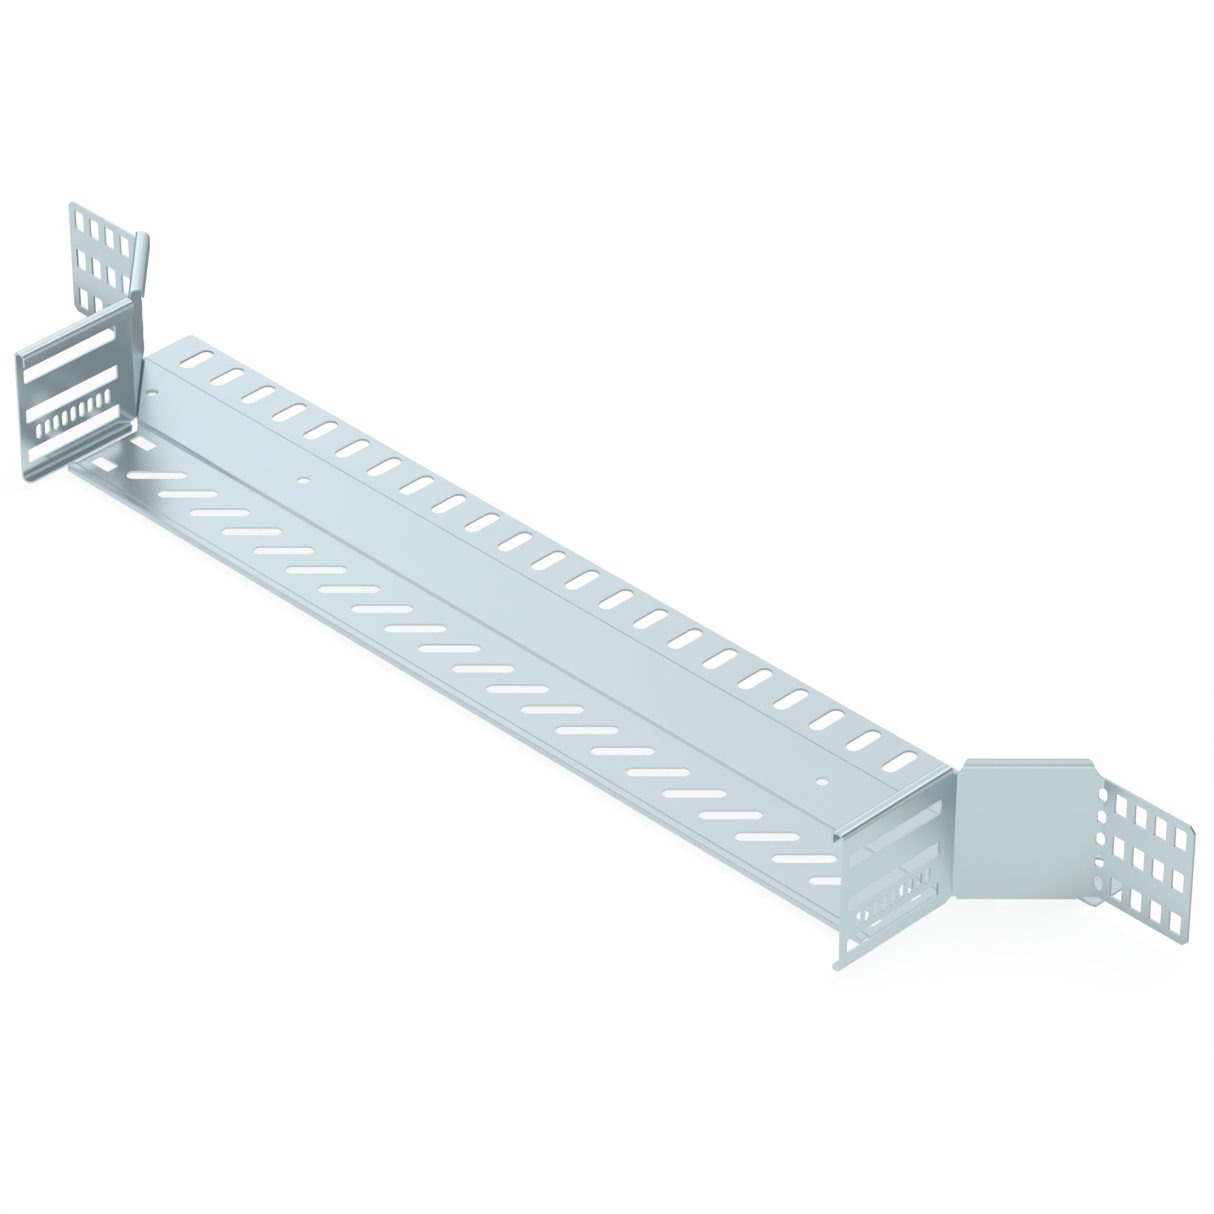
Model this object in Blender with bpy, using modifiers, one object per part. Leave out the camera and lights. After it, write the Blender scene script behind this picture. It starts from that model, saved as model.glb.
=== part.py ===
"""Add-on branch for a perforated cable tray: a slotted floor plate between two folded corner brackets.

The branch leaves the side of a tray that runs along X, and opens towards -Y. Each piece is one folded
sheet. Its mid-surface is drawn as an open sheet that grows fold by fold, then it is thickened to the
gauge and punched. Metres, +Z up, with the origin below the middle of the whole branch.
"""
import math

import bmesh
import bpy
from mathutils import Matrix, Vector

MM = 0.001

# Sheet
GAUGE = 1.25 * MM               # thickness of all three sheets
BEND_RADIUS = 2.0 * MM          # outer radius of an ordinary bend
FOOT_RADIUS = 2.85 * MM         # the same for the brackets' bottom flanges
SEAT_GAP = 0.25 * MM            # gap where the floor lies on a flange
BEND_STEPS = 6                  # facets in an ordinary bend
HEM_STEPS = 6                   # facets in each quarter of the rolled top edge

# Corner brackets in plan
BRANCH_WIDTH = 596.5 * MM       # over the outer faces of the two side plates
SIDE_LENGTH = 79.3 * MM         # side plate, from the mouth to its bend
CORNER_REACH = 49.85 * MM       # the 45 degree plate covers this much along X and along Y
WING_LENGTH = 56.7 * MM         # wing plate, from its bend to the free end

# Corner brackets in height
BRACKET_TOP = 85.6 * MM         # top of the rolled edge
WALL_TOP = 77.75 * MM           # raw top edge of the wing
NECK_RISE = 3.95 * MM           # the wall climbs this much past the wing's top at the first bend
FLANGE_LEVEL = 4.25 * MM        # underside of the bottom flanges

# Rolled top edge of the side and corner plates
HEM_WIDTH = 8.0 * MM            # over both its faces
HEM_RADIUS = 3.0 * MM           # outer radius of its two bends
HEM_DEPTH = 7.3 * MM            # inner leg, from the top to the free edge
SIDE_HEM_SETBACK = 2.8 * MM     # end of the side plate's rolled edge, before the bend
CORNER_HEM_SETBACK = 1.6 * MM   # start of the corner plate's rolled edge, after the bend
SHOULDER_RISE = 1.55 * MM       # height of the shoulder at the wing end of the corner plate
SHOULDER_SETBACK = 2.3 * MM     # the shoulder's distance from the bend
NECK_SETBACK = 3.7 * MM         # the same where the rolled edge begins
HEM_TAPER = 0.47                # each end of the corner's rolled edge recedes this much per unit run

# Bottom flanges
SIDE_FLANGE_WIDTH = 6.5 * MM    # from the side plate's outer face
SIDE_FLANGE_SETBACK = 4.1 * MM  # its mitred end starts this far before the bend
FLANGE_CORNER_RADIUS = 2.5 * MM
CORNER_FLANGE_WIDTH = 16.0 * MM  # from the corner plate's outer face
CORNER_FLANGE_SETBACK = 2.3 * MM
RISER_CLEARANCE = 0.6 * MM      # from the corner flange's end to the floor's riser
RELIEF_RADIUS = 2.2 * MM        # round notch under the first bend
RELIEF_RISE = 0.9 * MM          # how far the notch climbs into the wall
WING_CHAMFER = 3.0 * MM

# Punching shared by the brackets
ROW_FIRST = 17.42 * MM          # height of the lowest row of openings
ROW_PITCH = 24.95 * MM
ROW_COUNT = 3
CORNER_RADIUS = 1.0 * MM        # corners of the rectangular openings

# Side plate openings, centred this far from the mouth
PATTERN_SETBACK = 36.4 * MM
SIDE_SLOT_LENGTH = 64.0 * MM
SIDE_SLOT_WIDTH = 8.6 * MM
FINE_SLOT_COUNT = 9
FINE_SLOT_PITCH = 6.0 * MM
FINE_SLOT_WIDTH = 3.85 * MM
FINE_SLOT_HEIGHT = 9.1 * MM

# Wing openings and the row of holes down the second bend
WING_COLUMN_COUNT = 4
WING_COLUMN_FIRST = 11.2 * MM   # first column, from the bend
WING_COLUMN_PITCH = 12.42 * MM
WING_SLOT_WIDTH = 7.35 * MM
WING_SLOT_HEIGHT = 12.0 * MM
BEND_HOLE_COUNT = 5
BEND_HOLE_FIRST = 15.7 * MM
BEND_HOLE_PITCH = 13.2 * MM
BEND_HOLE_WIDTH = 4.6 * MM
BEND_HOLE_HEIGHT = 7.8 * MM

# Floor plate: the strip that lies under the main tray's floor
STRIP_INSET = 0.9 * MM          # the strip's ends, inside the second bends
STRIP_REACH = 33.7 * MM         # past the wings' plane
STRIP_CORNER_RADIUS = 5.0 * MM
RISER_ANGLE = math.radians(51)
RISER_FOOT = 0.45 * MM          # foot of the riser, before the wings' plane

# Floor plate: the flared part, the slotted part and the lip
SIDE_GAP = 2.25 * MM            # from the floor's edge to the side flange's edge
CORNER_GAP = 1.0 * MM           # from the flare's edge to the corner plate
STEP_LEAD = 0.75 * MM           # the step down to the slotted part lies this much behind the first bends
LIP_START = 50.5 * MM           # small joggle before the lip, from the step
LIP_RISE = 0.85 * MM
LIP_FACE = 56.0 * MM            # front face of the lip, from the step
LIP_RADIUS = 1.6 * MM
LIP_BOTTOM = 3.0 * MM           # lower edge of the lip

# Floor plate openings
SLOT_PITCH = 25.0 * MM
STRIP_SLOT_MARGIN = 15.0 * MM   # least distance from a slot's middle to the strip's end
STRIP_SLOT_SETBACK = 14.8 * MM  # slot centres, from the strip's far edge
STRIP_SLOT_LENGTH = 22.5 * MM
STRIP_SLOT_WIDTH = 8.5 * MM
LONG_SLOT_MARGIN = 30.0 * MM    # least distance from a slot's middle to the floor's side edge
LONG_SLOT_PLACE = 27.6 * MM     # slot centres, from the step
LONG_SLOT_LENGTH = 32.2 * MM
LONG_SLOT_WIDTH = 7.65 * MM
END_HOLE_INSET = 11.4 * MM      # rectangular holes, from the floor's side edge
END_HOLE_PLACES = (11.9 * MM, 40.0 * MM)  # from the step
END_HOLE_LENGTH = 14.8 * MM
END_HOLE_WIDTH = 8.3 * MM
BOLT_HOLE_DIAMETER = 6.7 * MM
BOLT_HOLE_INSET = 7.5 * MM      # outer bolt holes, from the corner plate's mid-plane
BOLT_HOLE_BACK = 26.3 * MM
BOLT_HOLE_SPACING = 121.2 * MM  # from each outer bolt hole to the inner one

# Sizes that follow
BEND_MID = BEND_RADIUS - GAUGE / 2
FOOT_MID = FOOT_RADIUS - GAUGE / 2
HEM_MID = HEM_RADIUS - GAUGE / 2
LIP_MID = LIP_RADIUS - GAUGE / 2
WALL_X = BRANCH_WIDTH / 2 - GAUGE / 2
WALL_BOTTOM = FLANGE_LEVEL + FOOT_RADIUS
MOUTH_Y = -(CORNER_REACH + SIDE_LENGTH)
CENTRE_Y = -(MOUTH_Y + STRIP_REACH) / 2
STRIP_MID_Z = GAUGE / 2
FLANGE_MID_Z = FLANGE_LEVEL + GAUGE / 2
FLARE_MID_Z = FLANGE_MID_Z + GAUGE + SEAT_GAP
LIP_MID_Z = FLANGE_MID_Z + LIP_RISE
FLOOR_HALF = BRANCH_WIDTH / 2 - SIDE_FLANGE_WIDTH - SIDE_GAP
STRIP_HALF = WALL_X + CORNER_REACH - STRIP_INSET
FLARE_LINE = WALL_X + CORNER_REACH - (GAUGE / 2 + CORNER_GAP) * math.sqrt(2)
FOOT_APEX_Y = -RISER_FOOT - BEND_MID * math.tan(RISER_ANGLE / 2)
RISER_TOP_APEX_Y = FOOT_APEX_Y - (FLARE_MID_Z - STRIP_MID_Z) / math.tan(RISER_ANGLE)
RISER_TOP_Y = RISER_TOP_APEX_Y - BEND_MID * math.tan(RISER_ANGLE / 2)
STEP_Y = STEP_LEAD - CORNER_REACH

ALONG_SIDE = Vector((0, 1, 0))
ALONG_CORNER = Vector((1, 1, 0)).normalized()
ALONG_WING = Vector((1, 0, 0))
UP = Vector((0, 0, 1))


def new_collection(name):
    group = bpy.data.collections.new(name)
    bpy.context.scene.collection.children.link(group)
    return group


def zinc_material(name, colour):
    """Galvanised sheet: a metallic grey with a slightly rough surface."""
    material = bpy.data.materials.new(name)
    material.use_nodes = True
    shader = material.node_tree.nodes["Principled BSDF"]
    shader.inputs["Base Color"].default_value = (*colour, 1)
    shader.inputs["Metallic"].default_value = 0.9
    shader.inputs["Roughness"].default_value = 0.38
    return material


def rounded(points, radii, steps, closed=False):
    """The corner points of a flat path with an arc of the given radius put into each corner."""
    path = []
    last = len(points) - 1
    for index, (point, radius) in enumerate(zip(points, radii)):
        corner = Vector(point)
        inner = closed or 0 < index < last
        if not inner or radius == 0:
            path.append(corner)
            continue
        before = (Vector(points[index - 1]) - corner).normalized()
        after = (Vector(points[(index + 1) % len(points)]) - corner).normalized()
        half = before.angle(after) / 2
        centre = corner + (before + after).normalized() * radius / math.sin(half)
        first = corner + before * radius / math.tan(half) - centre
        second = corner + after * radius / math.tan(half) - centre
        sweep = math.pi - 2 * half
        for step in range(steps + 1):
            share = step / steps
            blend = (first * math.sin((1 - share) * sweep) + second * math.sin(share * sweep)) / math.sin(sweep)
            path.append(centre + blend)
    tidy = [p for i, p in enumerate(path) if i == 0 or (p - path[i - 1]).length > 1e-7]
    if closed and (tidy[0] - tidy[-1]).length < 1e-7:
        tidy.pop()
    return tidy


def add_chain(bm, places):
    """A line of vertices joined by edges, from which a sheet grows."""
    chain = [bm.verts.new(place) for place in places]
    for pair in zip(chain, chain[1:]):
        bm.edges.new(pair)
    return chain


def grow(bm, chain, places):
    """Extrude one row of sheet from a chain, and put its new vertices at the given places."""
    edges = [bm.edges.get(pair) for pair in zip(chain, chain[1:])]
    grown = bmesh.ops.extrude_edge_only(bm, edges=edges)["geom"]
    fresh = [item for item in grown if isinstance(item, bmesh.types.BMVert)]
    row = [min(fresh, key=lambda vert: (vert.co - old.co).length) for old in chain]
    for vert, place in zip(row, places):
        vert.co = place
    return row


def fold(bm, chain, profile, inward, near_setback, far_setback):
    """Fold a straight edge over along a profile of (reach, height) points, and return the last row.

    The ends of each row are set back by a function of the reach and of the run since the first row.
    """
    start = chain[0].co.copy()
    end = chain[-1].co.copy()
    along = (end - start).normalized()
    shares = [(vert.co - start).length / (end - start).length for vert in chain]
    run = 0
    for before, point in zip(profile, profile[1:]):
        run += (point - before).length
        lift = inward * point.x + UP * (point.y - profile[0].y)
        near = start + lift + along * near_setback(point.x, run)
        far = end + lift - along * far_setback(point.x, run)
        chain = grow(bm, chain, [near.lerp(far, share) for share in shares])
    return chain


def round_corners(bm, corners, radius, steps):
    """Round (or, with one step, chamfer) corners of an open sheet."""
    bmesh.ops.bevel(bm, geom=corners, offset=radius, segments=steps, profile=0.5, affect="VERTICES")


def sheet_object(name, bm, material, group):
    """An open sheet as an object, with the gauge laid evenly on both sides of it."""
    bmesh.ops.recalc_face_normals(bm, faces=bm.faces)
    mesh = bpy.data.meshes.new(name)
    bm.to_mesh(mesh)
    bm.free()
    mesh.materials.append(material)
    sheet = bpy.data.objects.new(name, mesh)
    group.objects.link(sheet)
    thicken = sheet.modifiers.new("gauge", "SOLIDIFY")
    thicken.thickness = GAUGE
    thicken.offset = 0
    thicken.use_even_offset = True
    return sheet


def add_prism(bm, outline, depth, place):
    """A punch: a flat outline in its own XY plane, extruded to both sides and put in place."""
    verts = [bm.verts.new((point.x, point.y, -depth / 2)) for point in outline]
    face = bm.faces.new(verts)
    top = bmesh.ops.extrude_face_region(bm, geom=[face])["geom"]
    raised = [item for item in top if isinstance(item, bmesh.types.BMVert)]
    bmesh.ops.translate(bm, verts=raised, vec=(0, 0, depth))
    bmesh.ops.transform(bm, matrix=place, verts=verts + raised)


def oblong(length, width, radius, steps=3):
    """A rectangle with round corners, centred, its length along X."""
    x, y = length / 2, width / 2
    corners = [(-x, -y), (x, -y), (x, y), (-x, y)]
    return rounded(corners, [radius] * 4, steps, closed=True)


def obround(length, width):
    return oblong(length, width, width / 2, steps=5)


def hole(diameter):
    return obround(diameter, diameter)


def facing(normal, place):
    """Places a punch so that it drives along a level normal, with its own Y axis up."""
    side = UP.cross(normal).normalized()
    turn = Matrix((side, UP, normal)).transposed().to_4x4()
    return Matrix.Translation(place) @ turn


def punch(sheet, name, bm, group):
    """Cut the punches gathered in a bmesh out of a sheet."""
    bmesh.ops.recalc_face_normals(bm, faces=bm.faces)
    mesh = bpy.data.meshes.new(name)
    bm.to_mesh(mesh)
    bm.free()
    cutter = bpy.data.objects.new(name, mesh)
    group.objects.link(cutter)
    cutter.display_type = "WIRE"
    cutter.hide_render = True
    cut = sheet.modifiers.new("punching", "BOOLEAN")
    cut.operation = "DIFFERENCE"
    cut.solver = "EXACT"
    cut.object = cutter
    return cutter


def settle(sheet, cutter):
    """Apply the modifiers, shade the bends smooth and put the piece over the branch's origin."""
    bpy.context.view_layer.update()
    graph = bpy.context.evaluated_depsgraph_get()
    mesh = bpy.data.meshes.new_from_object(sheet.evaluated_get(graph))
    mesh.name = sheet.name
    sheet.modifiers.clear()
    sheet.data = mesh
    mesh.shade_smooth()
    mesh.set_sharp_from_angle(angle=math.radians(32))
    for item in (sheet, cutter):
        item.location.y = CENTRE_Y


def bracket_plan():
    """Plan points of a right-hand bracket's mid-surface, in five stretches from mouth to free end."""
    mouth = Vector((WALL_X, MOUTH_Y, 0))
    first = Vector((WALL_X, -CORNER_REACH, 0))
    second = Vector((WALL_X + CORNER_REACH, 0, 0))
    free_end = second + ALONG_WING * WING_LENGTH
    bends = rounded([mouth, first, second, free_end], [0, BEND_MID, BEND_MID, 0], BEND_STEPS)
    first_bend = bends[1:BEND_STEPS + 2]
    second_bend = bends[BEND_STEPS + 2:-1]
    flange_stop = (RISER_CLEARANCE - RISER_TOP_Y) * math.sqrt(2)
    side = [mouth, first - ALONG_SIDE * SIDE_FLANGE_SETBACK, first - ALONG_SIDE * SIDE_HEM_SETBACK]
    corner = [first + ALONG_CORNER * CORNER_HEM_SETBACK,
              first + ALONG_CORNER * CORNER_FLANGE_SETBACK,
              second - ALONG_CORNER * flange_stop]
    return side, first_bend, corner, second_bend, [free_end]


def hem_profile():
    """Rolled edge: up from the neck, over the top and down its inner leg."""
    base = WALL_TOP + NECK_RISE
    top = BRACKET_TOP - GAUGE / 2
    leg = HEM_WIDTH - GAUGE
    corners = [(0, base), (0, top), (leg, top), (leg, BRACKET_TOP - HEM_DEPTH)]
    return rounded(corners, [0, HEM_MID, HEM_MID, 0], HEM_STEPS)


def flange_profile(width):
    """Bottom flange: round from the wall's foot to a level strip."""
    corners = [(0, WALL_BOTTOM), (0, FLANGE_MID_Z), (width - GAUGE / 2, FLANGE_MID_Z)]
    return rounded(corners, [0, FOOT_MID, 0], BEND_STEPS)


def bracket_sheet(side_sign):
    """Mid-surface of a corner bracket: side plate, 45 degree corner plate and wing, with their folds."""
    side, first_bend, corner, second_bend, wing = bracket_plan()
    plan = side + first_bend + corner + second_bend + wing
    corner_start = len(side) + len(first_bend)
    corner_stop = corner_start + len(corner) + 1
    side_inward = -ALONG_WING
    corner_inward = UP.cross(ALONG_CORNER)

    bm = bmesh.new()
    foot = add_chain(bm, [point + UP * WALL_BOTTOM for point in plan])
    wall_top = grow(bm, foot, [point + UP * WALL_TOP for point in plan])
    free_corners = [foot[-1], wall_top[-1]]

    neck = wall_top[:corner_stop]
    bend_offset = BEND_MID * math.tan(math.radians(22.5))
    for rise, setback in ((SHOULDER_RISE, SHOULDER_SETBACK), (NECK_RISE, NECK_SETBACK)):
        places = [point + UP * (WALL_TOP + rise) for point in plan[:corner_stop]]
        places[-1] = places[-1] - ALONG_CORNER * (setback - bend_offset)
        neck = grow(bm, neck, places)

    def square(reach, run):
        return 0

    def taper(reach, run):
        return HEM_TAPER * run

    def mitre(reach, run):
        return max(0, reach - FOOT_MID)

    fold(bm, neck[:len(side)], hem_profile(), side_inward, square, square)
    fold(bm, neck[corner_start:], hem_profile(), corner_inward, taper, taper)

    flange_corners = fold(bm, foot[:2], flange_profile(SIDE_FLANGE_WIDTH), side_inward, square, mitre)
    fold(bm, foot[corner_start + 1:corner_start + 3], flange_profile(CORNER_FLANGE_WIDTH), corner_inward,
         square, lambda reach, run: reach)

    round_corners(bm, free_corners, WING_CHAMFER, 1)
    round_corners(bm, flange_corners[:1], FLANGE_CORNER_RADIUS, 4)
    bmesh.ops.transform(bm, matrix=Matrix.Diagonal((side_sign, 1, 1, 1)), verts=bm.verts)
    return bm


def bracket_punches(side_sign):
    """Every opening of a corner bracket, and the notch under its first bend."""
    reach = 4 * BEND_RADIUS
    rows = [ROW_FIRST + ROW_PITCH * row for row in range(ROW_COUNT)]
    first = Vector((WALL_X, -CORNER_REACH, 0))
    second = Vector((WALL_X + CORNER_REACH, 0, 0))
    pattern = Vector((WALL_X, MOUTH_Y + PATTERN_SETBACK, 0))

    bm = bmesh.new()
    for height in rows:
        place = facing(ALONG_WING, pattern + UP * height)
        add_prism(bm, oblong(SIDE_SLOT_LENGTH, SIDE_SLOT_WIDTH, CORNER_RADIUS), reach, place)
    for index in range(FINE_SLOT_COUNT):
        shift = (index - (FINE_SLOT_COUNT - 1) / 2) * FINE_SLOT_PITCH
        centre = pattern + ALONG_SIDE * shift + UP * (ROW_FIRST + ROW_PITCH / 2)
        place = facing(ALONG_WING, centre) @ Matrix.Rotation(math.pi / 2, 4, "Z")
        add_prism(bm, obround(FINE_SLOT_HEIGHT, FINE_SLOT_WIDTH), reach, place)
    for column in range(WING_COLUMN_COUNT):
        for height in rows:
            shift = WING_COLUMN_FIRST + WING_COLUMN_PITCH * column
            place = facing(-ALONG_SIDE, second + ALONG_WING * shift + UP * height)
            add_prism(bm, oblong(WING_SLOT_WIDTH, WING_SLOT_HEIGHT, CORNER_RADIUS), reach, place)

    across_second = (ALONG_CORNER + ALONG_WING).normalized().cross(UP)
    for index in range(BEND_HOLE_COUNT):
        height = BEND_HOLE_FIRST + BEND_HOLE_PITCH * index
        place = facing(across_second, second + UP * height) @ Matrix.Rotation(math.pi / 2, 4, "Z")
        add_prism(bm, obround(BEND_HOLE_HEIGHT, BEND_HOLE_WIDTH), reach, place)

    across_first = (ALONG_SIDE + ALONG_CORNER).normalized().cross(UP)
    notch_height = WALL_BOTTOM + RELIEF_RISE - RELIEF_RADIUS
    place = facing(across_first, first + UP * notch_height)
    add_prism(bm, hole(2 * RELIEF_RADIUS), 2 * BEND_RADIUS, place)

    place = Matrix.Translation(bolt_place() + UP * FLANGE_MID_Z)
    add_prism(bm, hole(BOLT_HOLE_DIAMETER), 2 * GAUGE, place)
    bmesh.ops.transform(bm, matrix=Matrix.Diagonal((side_sign, 1, 1, 1)), verts=bm.verts)
    return bm


def bolt_place():
    """Plan place of the bolt hole that the right-hand corner flange shares with the floor."""
    across = BOLT_HOLE_INSET * math.sqrt(2)
    return Vector((WALL_X + CORNER_REACH - BOLT_HOLE_BACK - across, -BOLT_HOLE_BACK, 0))


def floor_half_width(y):
    return max(FLOOR_HALF, FLARE_LINE + y)


def floor_profile():
    """Section of the floor across the branch, from the strip's far edge to the foot of the lip."""
    step_drop = FLARE_MID_Z - FLANGE_MID_Z
    lip_y = STEP_Y - LIP_FACE + GAUGE / 2
    corners = [
        (STRIP_REACH, STRIP_MID_Z, 0),
        (FOOT_APEX_Y, STRIP_MID_Z, BEND_MID),
        (RISER_TOP_APEX_Y, FLARE_MID_Z, BEND_MID),
        (STEP_Y, FLARE_MID_Z, BEND_MID),
        (STEP_Y - step_drop, FLANGE_MID_Z, BEND_MID),
        (FLOOR_HALF - FLARE_LINE, FLANGE_MID_Z, 0),
        (STEP_Y - LIP_START, FLANGE_MID_Z, LIP_MID),
        (STEP_Y - LIP_START - LIP_RISE, LIP_MID_Z, LIP_MID),
        (lip_y, LIP_MID_Z, LIP_MID),
        (lip_y, LIP_BOTTOM, 0),
    ]
    return rounded([(y, z) for y, z, _ in corners], [radius for _, _, radius in corners], BEND_STEPS)


def floor_sheet():
    """Mid-surface of the floor: a wide strip, a riser, the flared part, the slotted part and the lip."""
    profile = floor_profile()
    far_edge, foot = profile[:2]
    riser_half = floor_half_width(foot.x)
    across = (-STRIP_HALF, -riser_half, riser_half, STRIP_HALF)

    bm = bmesh.new()
    edge = add_chain(bm, [Vector((x, far_edge.x, far_edge.y)) for x in across])
    strip_corners = [edge[0], edge[-1]]
    row = grow(bm, edge, [Vector((x, foot.x, foot.y)) for x in across])[1:3]
    for point in profile[2:]:
        width = floor_half_width(point.x)
        row = grow(bm, row, [Vector((x, point.x, point.y)) for x in (-width, width)])
    round_corners(bm, strip_corners, STRIP_CORNER_RADIUS, 4)
    return bm


def slot_row(half_width, margin):
    """Places along X of a row of slots at the common pitch, as many as fit between the margins."""
    beside = math.floor((half_width - margin) / SLOT_PITCH)
    return [index * SLOT_PITCH for index in range(-beside, beside + 1)]


def floor_punches():
    """Every opening of the floor plate."""
    depth = 6 * GAUGE
    bm = bmesh.new()

    def strike(outline, x, y, z, turn=0.0):
        place = Matrix.Translation((x, y, z)) @ Matrix.Rotation(turn, 4, "Z")
        add_prism(bm, outline, depth, place)

    strip_slot = obround(STRIP_SLOT_LENGTH, STRIP_SLOT_WIDTH)
    for x in slot_row(STRIP_HALF, STRIP_SLOT_MARGIN):
        strike(strip_slot, x, STRIP_REACH - STRIP_SLOT_SETBACK, STRIP_MID_Z, math.pi / 2)
    long_slot = obround(LONG_SLOT_LENGTH, LONG_SLOT_WIDTH)
    for x in slot_row(FLOOR_HALF, LONG_SLOT_MARGIN):
        strike(long_slot, x, STEP_Y - LONG_SLOT_PLACE, FLANGE_MID_Z, math.pi / 4)
    for x_sign in (-1, 1):
        for place in END_HOLE_PLACES:
            end_hole = oblong(END_HOLE_LENGTH, END_HOLE_WIDTH, CORNER_RADIUS)
            strike(end_hole, x_sign * (FLOOR_HALF - END_HOLE_INSET), STEP_Y - place, FLANGE_MID_Z)
        for x in (bolt_place().x, bolt_place().x - BOLT_HOLE_SPACING):
            strike(hole(BOLT_HOLE_DIAMETER), x_sign * x, -BOLT_HOLE_BACK, FLARE_MID_Z)
    return bm


def build():
    for item in list(bpy.data.objects):
        bpy.data.objects.remove(item)
    branch = new_collection("cable_tray_branch")
    punches = new_collection("punches")

    floor = sheet_object("floor_plate", floor_sheet(), zinc_material("floor_zinc", (0.66, 0.72, 0.75)), branch)
    settle(floor, punch(floor, "floor_punches", floor_punches(), punches))
    for side_name, side_sign in (("left", -1), ("right", 1)):
        zinc = zinc_material(side_name + "_bracket_zinc", (0.60, 0.67, 0.69))
        bracket = sheet_object("corner_bracket_" + side_name, bracket_sheet(side_sign), zinc, branch)
        cutter = punch(bracket, side_name + "_bracket_punches", bracket_punches(side_sign), punches)
        settle(bracket, cutter)


build()
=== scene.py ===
# %% [markdown]
# # Cable tray branch: three folded sheets of galvanised steel
# A branch like this bolts to a cut-out in the side of a perforated cable tray and leads cables off to one
# side. It is a slotted floor plate between two folded corner brackets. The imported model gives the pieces
# at their real size, and this script gives them their finish, their crisp sheared edges, and the studio.

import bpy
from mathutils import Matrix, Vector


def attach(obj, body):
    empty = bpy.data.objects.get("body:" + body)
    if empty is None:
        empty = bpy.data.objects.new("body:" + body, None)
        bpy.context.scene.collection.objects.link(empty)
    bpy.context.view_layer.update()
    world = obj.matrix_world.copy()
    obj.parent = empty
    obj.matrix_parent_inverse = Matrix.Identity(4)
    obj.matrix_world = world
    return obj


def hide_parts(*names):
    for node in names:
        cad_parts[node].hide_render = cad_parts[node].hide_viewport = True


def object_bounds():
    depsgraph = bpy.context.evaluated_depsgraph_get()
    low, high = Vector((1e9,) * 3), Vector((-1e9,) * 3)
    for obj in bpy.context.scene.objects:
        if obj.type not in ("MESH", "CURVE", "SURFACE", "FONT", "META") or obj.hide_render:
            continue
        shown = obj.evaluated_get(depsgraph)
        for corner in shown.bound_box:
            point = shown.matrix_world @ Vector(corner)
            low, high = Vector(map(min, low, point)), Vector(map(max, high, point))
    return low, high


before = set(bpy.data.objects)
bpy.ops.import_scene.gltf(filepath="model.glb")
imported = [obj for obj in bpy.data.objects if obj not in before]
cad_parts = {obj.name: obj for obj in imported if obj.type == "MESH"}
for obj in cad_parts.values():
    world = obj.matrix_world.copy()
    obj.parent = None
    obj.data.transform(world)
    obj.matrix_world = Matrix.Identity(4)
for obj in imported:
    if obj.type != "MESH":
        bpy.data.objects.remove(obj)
cad_low, cad_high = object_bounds()
print("pieces in the frame:", sorted(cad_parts))

# %% Tools that the later cells use
import math

import bmesh
import bpy
from mathutils import Matrix, Vector

MM = 0.001
print("model box, mm:", [round(side / MM, 1) for side in cad_high - cad_low])

# %% [markdown]
# ## Shader maths as Python expressions
# A shader tree is easier to read as arithmetic than as a list of links. Each socket is wrapped in a small
# class, and an expression such as `1 - 0.5 * mask` adds the Math nodes that work it out.

# %% A socket with arithmetic
class Wire:
    """An output socket of a shader tree that takes part in sums and products."""

    def __init__(self, finish, socket):
        self.finish = finish
        self.socket = socket

    def _math(self, operation, first, second):
        return self.finish.add("ShaderNodeMath", {"operation": operation}, {0: first, 1: second})

    def __add__(self, other):
        return self._math("ADD", self, other)

    def __radd__(self, other):
        return self._math("ADD", other, self)

    def __sub__(self, other):
        return self._math("SUBTRACT", self, other)

    def __rsub__(self, other):
        return self._math("SUBTRACT", other, self)

    def __mul__(self, other):
        return self._math("MULTIPLY", self, other)

    def __rmul__(self, other):
        return self._math("MULTIPLY", other, self)


class Finish:
    """A material or world whose nodes are added by one method."""

    def __init__(self, block):
        self.block = block
        block.use_nodes = True
        self.nodes = block.node_tree.nodes
        self.links = block.node_tree.links
        self.nodes.clear()

    def add(self, kind, settings=None, values=None, output=0):
        """Add a node with its settings, then the numbers, colours or wires of its sockets."""
        node = self.nodes.new(kind)
        for name, value in (settings or {}).items():
            setattr(node, name, value)
        for name, value in (values or {}).items():
            if isinstance(value, Wire):
                self.links.new(value.socket, node.inputs[name])
            else:
                node.inputs[name].default_value = value
        return Wire(self, node.outputs[output]) if node.outputs else None


print("shader helper ready")

# %% [markdown]
# ## The zinc finish
# Thin sheet for trays is galvanised in the coil before it is punched. Its zinc is smooth and pale, with a
# faint cloudiness where the crystals differ, and very fine lines along the rolling direction. Patterns
# read Object coordinates in metres, so a scale of 100 gives cells of 10 mm on every piece alike.

# %% Zinc sheet material
CLOUD_SCALE = 28        # soft clouds about 35 mm across
CRYSTAL_SCALE = 160     # zinc crystals about 6 mm across
GRAIN_SCALE = 2600      # rolling lines a fraction of a millimetre apart
GRAIN_STRETCH = 0.02    # the lines are fifty times longer than they are wide
CRYSTAL_BEND = 3 * MM   # how far the crystals' borders wander
CLOUD_TONE = 0.9        # how strongly each pattern moves the colour from one tone to the other
CRYSTAL_TONE = 0.14
GRAIN_TONE = 0.10
CLOUD_ROUGH = 0.04      # how strongly it changes the roughness
CRYSTAL_ROUGH = 0.01
GRAIN_STRENGTH = 0.02   # the bump of the rolling lines
GRAIN_DEPTH = 0.02 * MM
BARE_METAL = 0.86       # the rest of the surface is a dull film of zinc oxide
GRAZING_TINT = (0.70, 0.84, 0.86, 1)    # zinc seen at a grazing angle keeps its cool tone
FLOOR_ROUGHNESS = 0.26
BRACKET_ROUGHNESS = 0.19
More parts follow.
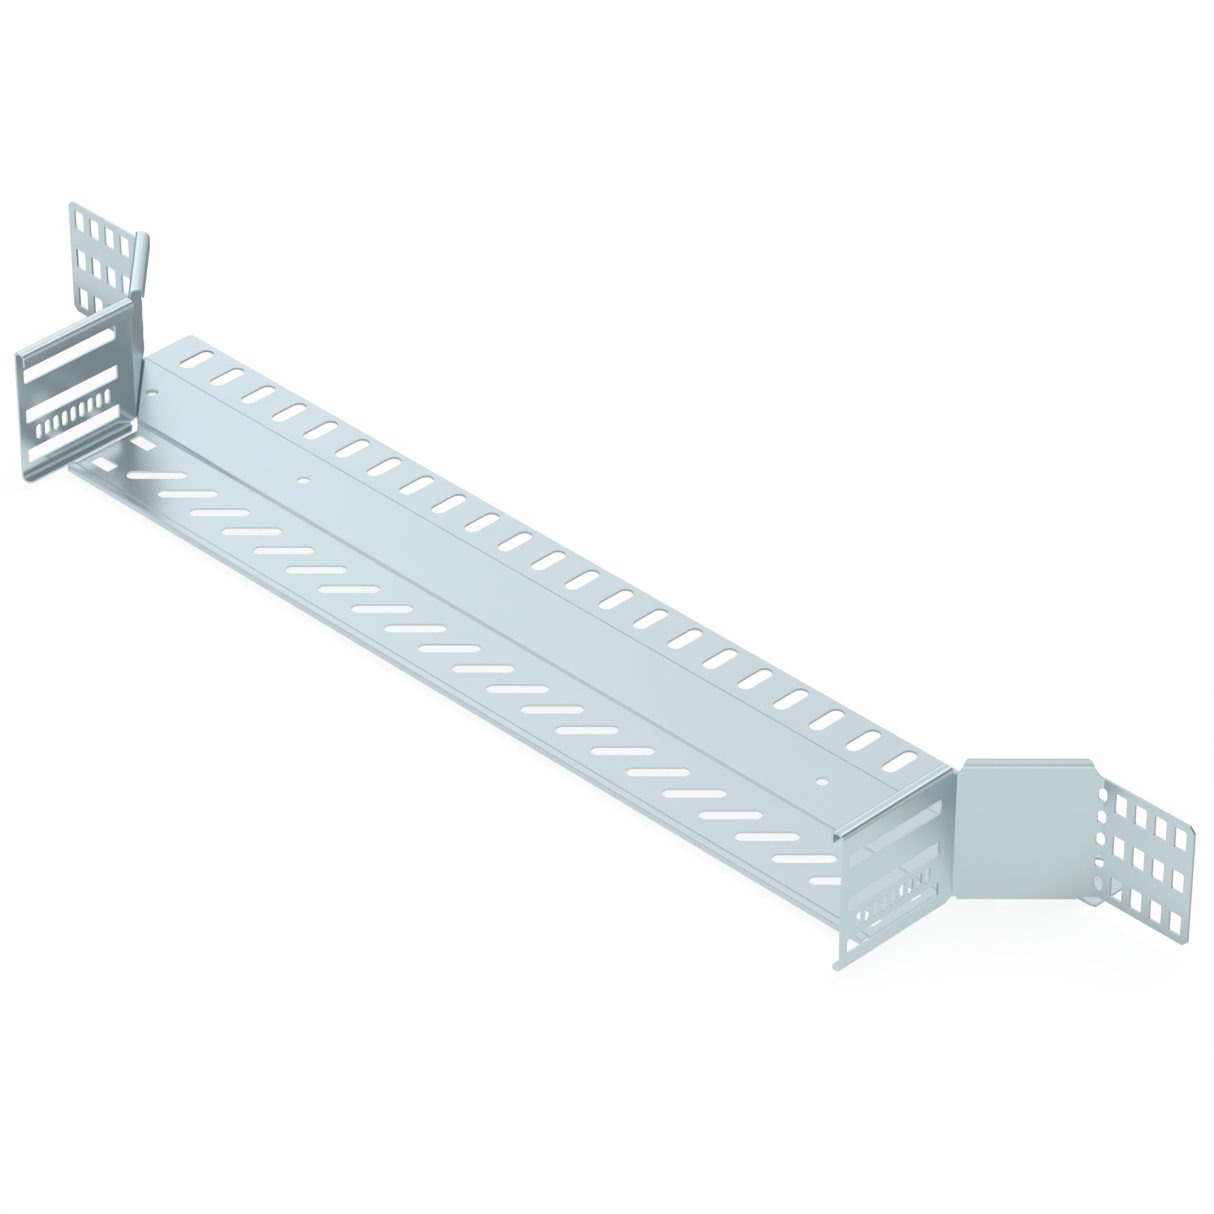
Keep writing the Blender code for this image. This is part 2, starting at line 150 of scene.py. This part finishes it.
FLOOR_TONES = ((0.54, 0.62, 0.66), (0.52, 0.60, 0.63))
BRACKET_TONES = ((0.52, 0.61, 0.64), (0.50, 0.59, 0.61))


def zinc_finish(name, tones, roughness, grain_turn=0.0):
    """Coil-galvanised steel between a pale and a deep tone, with crystals, clouds and rolling lines."""
    pale, deep = tones
    finish = Finish(bpy.data.materials.new(name))
    place = finish.add("ShaderNodeTexCoord", output="Object")
    clouds = finish.add("ShaderNodeTexNoise", {},
                        {"Vector": place, "Scale": CLOUD_SCALE, "Detail": 3.0, "Roughness": 0.5})
    warp = finish.add("ShaderNodeTexNoise", {},
                      {"Vector": place, "Scale": CRYSTAL_SCALE, "Detail": 1.0}, output="Color")
    bent = finish.add("ShaderNodeVectorMath", {"operation": "MULTIPLY_ADD"},
                      {0: warp, 1: (CRYSTAL_BEND, CRYSTAL_BEND, CRYSTAL_BEND), 2: place})
    crystals = finish.add("ShaderNodeTexVoronoi", {"feature": "F1"},
                          {"Vector": bent, "Scale": CRYSTAL_SCALE}, output="Color")
    tone = finish.add("ShaderNodeSeparateColor", {}, {"Color": crystals})
    turned = finish.add("ShaderNodeMapping", {"vector_type": "POINT"},
                        {"Vector": place, "Rotation": (0, 0, grain_turn), "Scale": (GRAIN_STRETCH, 1, 1)})
    grain = finish.add("ShaderNodeTexNoise", {}, {"Vector": turned, "Scale": GRAIN_SCALE, "Detail": 2.0})

    # Each pattern runs from 0 to 1 about a middle of 0.5.
    share = (0.5 + CLOUD_TONE * (clouds - 0.5) + CRYSTAL_TONE * (tone - 0.5)
             + GRAIN_TONE * (grain - 0.5))
    # A colour mix has its factor in socket 0, its two colours in 6 and 7, and its result in output 2.
    colour = finish.add("ShaderNodeMix", {"data_type": "RGBA", "clamp_factor": True},
                        {0: share, 6: (*deep, 1), 7: (*pale, 1)}, output=2)
    rough = roughness + CLOUD_ROUGH * (clouds - 0.5) + CRYSTAL_ROUGH * (tone - 0.5)
    bump = finish.add("ShaderNodeBump", {},
                      {"Strength": GRAIN_STRENGTH, "Distance": GRAIN_DEPTH, "Height": grain})
    surface = finish.add("ShaderNodeBsdfPrincipled", {}, {
        "Base Color": colour, "Metallic": BARE_METAL, "Roughness": rough,
        "Specular Tint": GRAZING_TINT, "Normal": bump})
    finish.add("ShaderNodeOutputMaterial", {}, {"Surface": surface})
    print("finish:", name)
    return finish.block


FLOOR_ZINC = zinc_finish("floor_zinc_sheet", FLOOR_TONES, FLOOR_ROUGHNESS)
BRACKET_ZINC = zinc_finish("bracket_zinc_sheet", BRACKET_TONES, BRACKET_ROUGHNESS, math.radians(90))

# %% [markdown]
# ## Sheared and folded sheets
# The frame's solids have the true folds and punched openings, but razor edges and flat facets. On the
# real sheet the punch rolls each edge over a little, and a fold is one smooth curve. Each piece is a
# merged copy of its solid: its coplanar triangles are joined, its sheared edges get a small bevel, and
# weighted normals keep the flats flat while the folds shade as curves.

# %% Finish a sheet
EDGE_ROLL = 0.10 * MM           # rounding that the punch leaves on an edge
SHARP_ANGLE = math.radians(40)  # anything steeper is a sheared edge, and anything less is part of a fold
FLAT_ANGLE = math.radians(0.6)  # faces that differ by less than this become one
SAME_POINT = 0.002 * MM         # corners closer than this are one corner


def finished_sheet(node_name, piece_name, finish):
    """A merged copy of a frame node with rolled edges and smooth folds, in place of the node."""
    bm = bmesh.new()
    bm.from_mesh(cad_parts[node_name].data)
    bmesh.ops.remove_doubles(bm, verts=bm.verts, dist=SAME_POINT)
    bmesh.ops.dissolve_limit(bm, angle_limit=FLAT_ANGLE, use_dissolve_boundaries=False,
                             verts=bm.verts, edges=bm.edges, delimit=set())
    sheared = [edge for edge in bm.edges if edge.is_manifold and edge.calc_face_angle() > SHARP_ANGLE]
    bmesh.ops.bevel(bm, geom=sheared, offset=EDGE_ROLL, offset_type="OFFSET", segments=2, profile=0.5,
                    affect="EDGES", clamp_overlap=True, material=-1, loop_slide=True,
                    face_strength_mode="NEW")
    sheared_count = len(sheared)
    mesh = bpy.data.meshes.new(piece_name)
    bm.to_mesh(mesh)
    bm.free()
    mesh.shade_smooth()
    mesh.materials.clear()
    mesh.materials.append(finish)

    piece = bpy.data.objects.new(piece_name, mesh)
    bpy.context.scene.collection.objects.link(piece)
    normals = piece.modifiers.new("flat faces stay flat", "WEIGHTED_NORMAL")
    normals.mode = "FACE_AREA_WITH_ANGLE"
    normals.use_face_influence = True
    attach(piece, "root")
    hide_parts(node_name)
    print(piece_name, len(mesh.polygons), "faces,", sheared_count, "sheared edges")


# %% The three sheets
finished_sheet("floor_plate", "floor_plate_sheet", FLOOR_ZINC)
finished_sheet("corner_bracket_left", "corner_bracket_left_sheet", BRACKET_ZINC)
finished_sheet("corner_bracket_right", "corner_bracket_right_sheet", BRACKET_ZINC)

# %% [markdown]
# ## The studio
# Bare zinc has little colour of its own: it shows the room. So the room is set up as a product
# photographer would: pale walls, white paper under the branch, and a few soft panels. The large softbox
# is what the floor plate mirrors to the camera. The dark flag and the softbox at the back draw thin dark
# and bright lines along the rolled edges, and grey cards stand behind and at the front left. The camera
# sees only white paper, with a soft shadow on it.
#
# The zinc sees the paper a little brighter at the front, and darker behind the branch: a painted shade in
# the paper's glow, deepest behind the left wing. The panels are patches of brightness on the surround, so
# that they need no objects.

# %% Studio floor
PAPER_WHITE = 0.93
PAPER_DROP = 0.3 * MM           # how far the paper lies under the branch
FLOOR_GLOW = 0.88               # share of the floor's look that comes from its white glow
FLOOR_IN_ZINC = 1.06            # how bright that glow is where metal reflects it
FLOOR_IN_ZINC_SHADED_BEHIND = 0.56             # the same behind the branch, where it is a painted shade
PAINTED_SHADE_BEHIND_FADE = (0.01, 0.06)       # places along Y between which the painted shade comes in, in metres
PAINTED_SHADE_BACK_LEFT = 0.38           # what the painted shade behind the left wing leaves of that glow
PAINTED_SHADE_LEFT_FADE = (0.31, 0.34)        # places along -X between which that painted shade begins, in metres


def ray_kinds(finish):
    """1 or 0 for rays from the camera, and 1 or 0 for rays that a surface mirrors or lets through."""
    kinds = [finish.add("ShaderNodeLightPath", output=kind)
             for kind in ("Is Camera Ray", "Is Glossy Ray", "Is Transmission Ray")]
    return kinds[0], kinds[1] + kinds[2]


def smooth_step(finish, value, start, end):
    """0 below the start and 1 above the end, with an even change between them."""
    return finish.add("ShaderNodeMapRange", {"interpolation_type": "SMOOTHSTEP"},
                      {"Value": value, "From Min": start, "From Max": end})


def studio_floor(size=12.0):
    """White paper, whose brightness in the zinc drops from the front to behind the branch, a painted
    shade.
    """
    bm = bmesh.new()
    bmesh.ops.create_grid(bm, x_segments=1, y_segments=1, size=size / 2)
    bmesh.ops.translate(bm, verts=bm.verts, vec=(0, 0, cad_low.z - PAPER_DROP))
    mesh = bpy.data.meshes.new("studio_floor")
    bm.to_mesh(mesh)
    bm.free()
    finish = Finish(bpy.data.materials.new("studio_paper"))
    paper = finish.add("ShaderNodeBsdfDiffuse", {}, {"Color": (PAPER_WHITE, PAPER_WHITE, PAPER_WHITE, 1)})
    seen, mirrored = ray_kinds(finish)
    place = finish.add("ShaderNodeTexCoord", output="Object")
    across = finish.add("ShaderNodeSeparateXYZ", {}, {"Vector": place}, output="X")
    along = finish.add("ShaderNodeSeparateXYZ", {}, {"Vector": place}, output="Y")
    # Painted shade: the glow that the zinc mirrors is dimmed behind the branch, and more behind the left
    # wing. The card mask is this painted shade; no card stands there.
    behind = smooth_step(finish, along, *PAINTED_SHADE_BEHIND_FADE)
    card = behind * smooth_step(finish, -1 * across, *PAINTED_SHADE_LEFT_FADE)
    glow_before_left_shade = FLOOR_IN_ZINC + (FLOOR_IN_ZINC_SHADED_BEHIND - FLOOR_IN_ZINC) * behind
    in_zinc = glow_before_left_shade * (1 - (1 - PAINTED_SHADE_BACK_LEFT) * card)
    strength = seen + in_zinc * mirrored
    glow = finish.add("ShaderNodeEmission", {}, {"Color": (1, 1, 1, 1), "Strength": strength})
    share = FLOOR_GLOW * (seen + mirrored)
    blend = finish.add("ShaderNodeMixShader", {}, {0: share, 1: paper, 2: glow})
    finish.add("ShaderNodeOutputMaterial", {}, {"Surface": blend})
    mesh.materials.append(finish.block)
    floor = bpy.data.objects.new("studio_floor", mesh)
    bpy.context.scene.collection.objects.link(floor)
    print("paper laid,", size, "m wide")


studio_floor()

# %% Surround with its panels
WALLS_BRIGHT = 1.01             # the walls at the front left
WALLS_DIM = 0.78                # the walls at the back
WALLS_TOWARDS = (-1, -1, 0)     # where the bright walls are
WALLS_FADE = (-0.11, 0.08)      # cosines between which dim walls turn to bright ones
FILL = 0.98                     # the surround's strength as a light on matt surfaces

# Soft panels: direction, the angles where it ends and where it is full, and what it does to the walls.
PANELS = (
    ("large softbox, back left", (-1, 1, 1), 50, 20, 0.23),
    ("dark flag, back right", (0.52, 0.58, 0.62), 20, 4, -0.74),
    ("softbox, high at the back", (-0.09, 0.58, 0.81), 18, 6, 0.80),
    ("softbox, low at the left", (-0.88, 0.42, 0.22), 28, 12, 0.30),
    ("softbox, front right", (0.64, -0.64, 0.42), 28, 8, 0.50),
    ("grey card, behind", (-0.50, 0.85, 0.10), 20, 8, -0.55),
    ("grey card, front left", (-1, -1, 1), 38, 14, -0.12),
)


def nearness(finish, towards, direction, outer, inner):
    """0 beyond the outer cosine from a direction, and 1 within the inner one."""
    cosine = finish.add("ShaderNodeVectorMath", {"operation": "DOT_PRODUCT"},
                        {0: towards, 1: Vector(direction).normalized()}, output="Value")
    return smooth_step(finish, cosine, outer, inner)


def surround():
    """The walls and panels that the zinc mirrors, plain white to the camera."""
    world = bpy.data.worlds.new("surround")
    bpy.context.scene.world = world
    finish = Finish(world)
    towards = finish.add("ShaderNodeTexCoord", output="Generated")
    bright = nearness(finish, towards, WALLS_TOWARDS, *WALLS_FADE)
    walls = WALLS_DIM + (WALLS_BRIGHT - WALLS_DIM) * bright
    for name, direction, outer, inner, change in PANELS:
        edges = math.cos(math.radians(outer)), math.cos(math.radians(inner))
        walls = walls * (1 + change * nearness(finish, towards, direction, *edges))
    seen, mirrored = ray_kinds(finish)
    strength = seen + mirrored * walls + FILL * (1 - seen - mirrored)
    light = finish.add("ShaderNodeBackground", {}, {"Color": (1, 1, 1, 1), "Strength": strength})
    finish.add("ShaderNodeOutputWorld", {}, {"Surface": light})
    print("surround with", len(PANELS), "panels")


surround()

# %% Lamp
LAMP_PLACE = (0.1, 1.5, 2.4)    # in metres, high behind the branch
LAMP_SIZE = 1.4
LAMP_POWER = 30


def soft_lamp(name, place, aim, size, power):
    """A square lamp that lights the paper and the dull film, and that the zinc doesn't mirror."""
    lamp = bpy.data.lights.new(name, "AREA")
    lamp.shape = "SQUARE"
    lamp.size = size
    lamp.energy = power
    holder = bpy.data.objects.new(name, lamp)
    holder.location = place
    holder.rotation_euler = (Vector(aim) - Vector(place)).to_track_quat("-Z", "Y").to_euler()
    holder.visible_glossy = False
    bpy.context.scene.collection.objects.link(holder)
    print("lamp hung:", name)


soft_lamp("softbox", LAMP_PLACE, (0, 0, 0), LAMP_SIZE, LAMP_POWER)

# %% [markdown]
# ## The camera
# The view direction, distance and lens were fitted to the rows of punched slots, whose real pitch is
# known. A long lens from the branch's front right looks down at 35 degrees.

# %% Camera
AZIMUTH = math.radians(45.006)
ELEVATION = math.radians(34.962)
ROLL = math.radians(0.016)
DISTANCE = 3171.1 * MM
FOCAL_IN_PIXELS = 6143.5
IMAGE_SIDE = 1214
SENSOR = 36.0
LOOKS_AT = Vector((0, 47.725, 0)) * MM
SHIFT_RIGHT = 8.639 * MM
SHIFT_UP = 4.521 * MM


def photo_camera():
    """A camera that shows the branch as the photograph does."""
    back = Vector((math.sin(AZIMUTH) * math.cos(ELEVATION), -math.cos(AZIMUTH) * math.cos(ELEVATION),
                   math.sin(ELEVATION)))
    level = Vector((math.cos(AZIMUTH), math.sin(AZIMUTH), 0))
    upright = back.cross(level)
    right = math.cos(ROLL) * level + math.sin(ROLL) * upright
    up = math.cos(ROLL) * upright - math.sin(ROLL) * level
    camera = bpy.data.cameras.new("camera")
    camera.sensor_width = SENSOR
    camera.lens = SENSOR * FOCAL_IN_PIXELS / IMAGE_SIDE
    camera.clip_start = 0.1
    camera.clip_end = 50
    holder = bpy.data.objects.new("camera", camera)
    place = LOOKS_AT + back * DISTANCE + right * SHIFT_RIGHT + up * SHIFT_UP
    turn = Matrix((right, up, back)).transposed().to_4x4()
    holder.matrix_world = Matrix.Translation(place) @ turn
    bpy.context.scene.collection.objects.link(holder)
    bpy.context.scene.camera = holder
    print("camera at", [round(value, 3) for value in place], "lens", round(camera.lens, 1))


photo_camera()
bpy.context.scene.view_settings.view_transform = "Standard"
